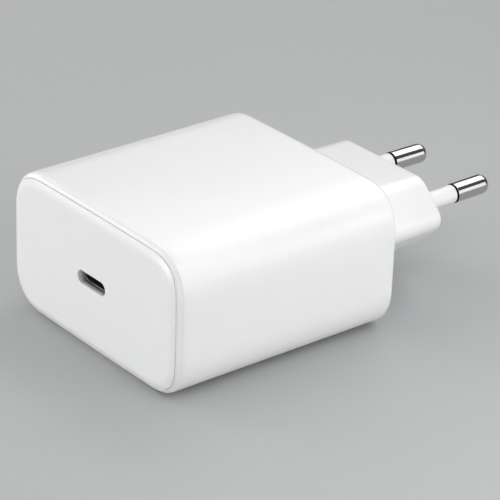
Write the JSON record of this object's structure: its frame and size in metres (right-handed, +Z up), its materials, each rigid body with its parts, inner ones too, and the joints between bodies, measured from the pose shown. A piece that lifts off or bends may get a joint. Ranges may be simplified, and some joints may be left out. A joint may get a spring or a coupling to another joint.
{
  "type": "usb wall charger",
  "caption": "Rounded-box mains charger: a USB-C outlet centred in a seamed front cover, and a fixed flat European plug with round sleeved pins at the rear.",
  "frame": {"origin": "middle of the whole object's footprint, on the face it rests on", "axes": "+Z up; the outlet faces -Y; the mains pins point to +Y; X is across the body"},
  "size_m": [0.0516, 0.089, 0.0291],
  "materials": {
    "white_casing": "white, lightly polished moulding",
    "pin_sleeve": "white, smooth overmoulding",
    "nickel": "polished nickel plating on brass",
    "spring_bronze": "bare strip",
    "dark_steel": "drawn tube, dark nickel",
    "black_resin": "moulded, slightly rough",
    "board_green": "solder resist on glass epoxy",
    "fuse_brown": "moulded",
    "thermistor_green": "dipped coating",
    "film_yellow": "moulded box",
    "ferrite": "sintered, dull",
    "enamel_copper": "enamelled winding wire",
    "capacitor_sleeve": "shrunk film over a can",
    "aluminium": "rolled sheet and drawn cans",
    "disc_blue": "dipped coating",
    "bobbin_resin": "moulded",
    "tape_amber": "film tape",
    "silicone_grey": "soft filler",
    "clear_film": "thin film, milky"
  },
  "bodies": {
    "root": {"main_housing": "white_casing", "front_cover": "white_casing", "plug_boss": "white_casing", "pin_left": "nickel", "pin_right": "nickel", "pin_sleeve_left": "pin_sleeve", "pin_sleeve_right": "pin_sleeve", "pin_contact_left": "spring_bronze", "pin_contact_right": "spring_bronze", "usb_c_shell": "dark_steel", "usb_c_tongue": "black_resin", "output_board": "board_green", "protocol_chip": "black_resin", "output_switch": "black_resin", "main_board": "board_green", "fuse": "fuse_brown", "inrush_thermistor": "thermistor_green", "x_capacitor": "film_yellow", "choke_core": "ferrite", "choke_winding_left": "enamel_copper", "choke_winding_right": "enamel_copper", "bulk_capacitor_1": "capacitor_sleeve", "bulk_capacitor_2": "capacitor_sleeve", "bulk_capacitor_3": "capacitor_sleeve", "transformer_core_lower": "ferrite", "transformer_core_upper": "ferrite", "transformer_bobbin": "bobbin_resin", "transformer_winding": "enamel_copper", "transformer_tape": "tape_amber", "bridge_rectifier": "black_resin", "primary_switch": "black_resin", "primary_controller": "black_resin", "rectifier_switch": "black_resin", "optocoupler": "black_resin", "y_capacitor": "disc_blue", "output_capacitor_1": "aluminium", "output_capacitor_2": "aluminium", "heat_spreader_lower": "aluminium", "thermal_pad_lower": "silicone_grey", "heat_spreader_upper": "aluminium", "thermal_pad_upper": "silicone_grey", "insulating_film": "clear_film"}
  },
  "joints": []
}
